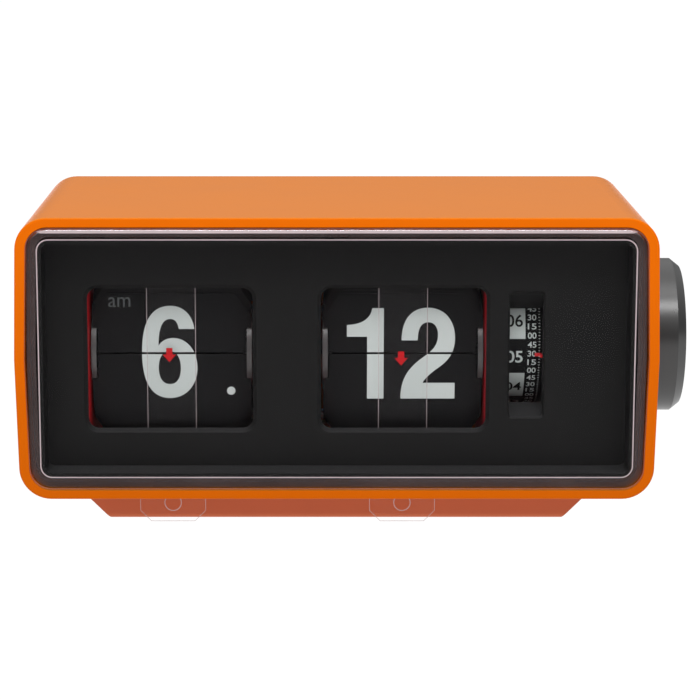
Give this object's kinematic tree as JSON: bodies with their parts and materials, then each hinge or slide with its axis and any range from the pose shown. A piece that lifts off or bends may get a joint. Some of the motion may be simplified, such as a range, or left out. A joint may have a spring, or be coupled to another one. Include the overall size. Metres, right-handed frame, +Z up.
{
  "type": "flip number clock",
  "caption": "Orange split-flap alarm clock with a clear box front, leaf-drum hour and minute displays, an alarm wheel with pointer and a large side knob.",
  "frame": {"origin": "centre of the plinth's flat underside", "axes": "+X to the clock's right as the viewer reads it, -Y out of the dial, +Z up"},
  "size_m": [0.1901, 0.0972, 0.0914],
  "materials": {
    "upper_shell": "smooth",
    "lower_shell": "smooth",
    "plinth": "smooth",
    "front_lens": "clear moulded",
    "face_mask": "fine matt",
    "alarm_pointer": "smooth",
    "case_screws": "zinc plated",
    "hour_plate_left": "smooth",
    "hour_plate_right": "smooth",
    "minute_plate_left": "smooth",
    "minute_plate_right": "smooth",
    "alarm_plate": "smooth",
    "drum_axle": "ground",
    "frame_rods": "ground",
    "train_axles": "ground",
    "hour_drum": "moulded",
    "minute_drum": "moulded",
    "train_wheel": "moulded",
    "time_set_wheel": "knurled",
    "motor_pinion": "turned",
    "motor": "drawn can",
    "hour_flap": "thin sheet",
    "hour_front_leaf": "thin sheet",
    "hour_next_leaf": "thin sheet",
    "hour_lower_leaves": "thin sheet",
    "hour_upper_leaves": "thin sheet",
    "minute_flap": "thin sheet",
    "minute_front_leaf": "thin sheet",
    "minute_next_leaf": "thin sheet",
    "minute_lower_leaves": "thin sheet",
    "minute_upper_leaves": "thin sheet",
    "hour_retainer": "smooth",
    "minute_retainer": "smooth",
    "alarm_wheel": "printed",
    "alarm_shaft": "moulded",
    "alarm_cam": "moulded",
    "side_knob": "fluted edge",
    "alarm_contact": "sprung strip on a block",
    "battery_cell": "printed jacket",
    "battery_holder": "moulded",
    "battery_contacts": "nickel plated",
    "battery_door": "smooth with grip ribs",
    "circuit_board": "etched laminate",
    "board_parts": "moulded packages",
    "buzzer": "moulded",
    "switch_housing": "moulded",
    "alarm_switch": "moulded",
    "hour_transport_strip": "clear film",
    "minute_transport_strip": "clear film"
  },
  "bodies": {
    "case": {"upper_shell": "upper_shell", "lower_shell": "lower_shell", "plinth": "plinth", "front_lens": "front_lens", "face_mask": "face_mask", "alarm_pointer": "alarm_pointer", "case_screws": "case_screws", "hour_plate_left": "hour_plate_left", "hour_plate_right": "hour_plate_right", "minute_plate_left": "minute_plate_left", "minute_plate_right": "minute_plate_right", "alarm_plate": "alarm_plate", "drum_axle": "drum_axle", "frame_rods": "frame_rods", "train_axles": "train_axles", "motor": "motor", "hour_front_leaf": "hour_front_leaf", "hour_next_leaf": "hour_next_leaf", "hour_lower_leaves": "hour_lower_leaves", "hour_upper_leaves": "hour_upper_leaves", "minute_front_leaf": "minute_front_leaf", "minute_next_leaf": "minute_next_leaf", "minute_lower_leaves": "minute_lower_leaves", "minute_upper_leaves": "minute_upper_leaves", "hour_retainer": "hour_retainer", "minute_retainer": "minute_retainer", "alarm_contact": "alarm_contact", "battery_cell": "battery_cell", "battery_holder": "battery_holder", "battery_contacts": "battery_contacts", "circuit_board": "circuit_board", "board_parts": "board_parts", "buzzer": "buzzer", "switch_housing": "switch_housing"},
    "hour_drum_body": {"hour_drum": "hour_drum"},
    "minute_drum_body": {"minute_drum": "minute_drum"},
    "train_wheel_body": {"train_wheel": "train_wheel"},
    "time_set_body": {"time_set_wheel": "time_set_wheel"},
    "motor_pinion_body": {"motor_pinion": "motor_pinion"},
    "hour_flap_body": {"hour_flap": "hour_flap"},
    "minute_flap_body": {"minute_flap": "minute_flap"},
    "alarm_body": {"alarm_wheel": "alarm_wheel", "alarm_shaft": "alarm_shaft", "alarm_cam": "alarm_cam", "side_knob": "side_knob"},
    "alarm_switch_body": {"alarm_switch": "alarm_switch"},
    "battery_door_body": {"battery_door": "battery_door"},
    "hour_strip_body": {"hour_transport_strip": "hour_transport_strip"},
    "minute_strip_body": {"minute_transport_strip": "minute_transport_strip"}
  },
  "joints": [
    {"name": "minute_drum_turn", "type": "hinge", "parent": "case", "child": "minute_drum_body", "pos_m": [0.019, -0.0165, 0.0494], "axis": [1, 0, 0], "continuous": true},
    {"name": "hour_drum_turn", "type": "hinge", "parent": "case", "child": "hour_drum_body", "pos_m": [-0.04715, -0.0165, 0.0494], "axis": [1, 0, 0], "continuous": true},
    {"name": "train_wheel_turn", "type": "hinge", "parent": "case", "child": "train_wheel_body", "pos_m": [-0.0136, 0.0035, 0.0494], "axis": [1, 0, 0], "continuous": true},
    {"name": "time_set_turn", "type": "hinge", "parent": "case", "child": "time_set_body", "pos_m": [-0.0136, 0.03072, 0.06511], "axis": [1, 0, 0], "continuous": true},
    {"name": "motor_turn", "type": "hinge", "parent": "case", "child": "motor_pinion_body", "pos_m": [-0.00975, 0.02229, 0.04256], "axis": [1, 0, 0], "continuous": true},
    {"name": "alarm_set", "type": "hinge", "parent": "case", "child": "alarm_body", "pos_m": [0.07, -0.0075, 0.0514], "axis": [1, 0, 0], "continuous": true},
    {"name": "hour_flap_fall", "type": "hinge", "parent": "case", "child": "hour_flap_body", "pos_m": [-0.04715, -0.027, 0.0494], "axis": [1, 0, 0], "range_deg": [0, 180], "deforming": ["hour_transport_strip"]},
    {"name": "minute_flap_fall", "type": "hinge", "parent": "case", "child": "minute_flap_body", "pos_m": [0.019, -0.027, 0.0494], "axis": [1, 0, 0], "range_deg": [0, 180], "deforming": ["minute_transport_strip"]},
    {"name": "alarm_switch_slide", "type": "slide", "parent": "case", "child": "alarm_switch_body", "axis": [1, 0, 0], "range_m": [0, 0.006]},
    {"name": "battery_door_open", "type": "hinge", "parent": "case", "child": "battery_door_body", "pos_m": [-0.052, 0.0465, 0.0169], "axis": [-1, 0, 0], "range_deg": [0, 100]},
    {"name": "hour_strip_pull", "type": "slide", "parent": "case", "child": "hour_strip_body", "axis": [0, 0, -1], "range_m": [0, 0.07]},
    {"name": "minute_strip_pull", "type": "slide", "parent": "case", "child": "minute_strip_body", "axis": [0, 0, -1], "range_m": [0, 0.07]}
  ],
  "couplings": [
    {"joint": "train_wheel_turn", "follows": "minute_drum_turn", "ratio": -0.16667},
    {"joint": "hour_drum_turn", "follows": "minute_drum_turn", "ratio": 0.041667},
    {"joint": "time_set_turn", "follows": "minute_drum_turn", "ratio": 0.2},
    {"joint": "motor_turn", "follows": "minute_drum_turn", "ratio": 1}
  ]
}
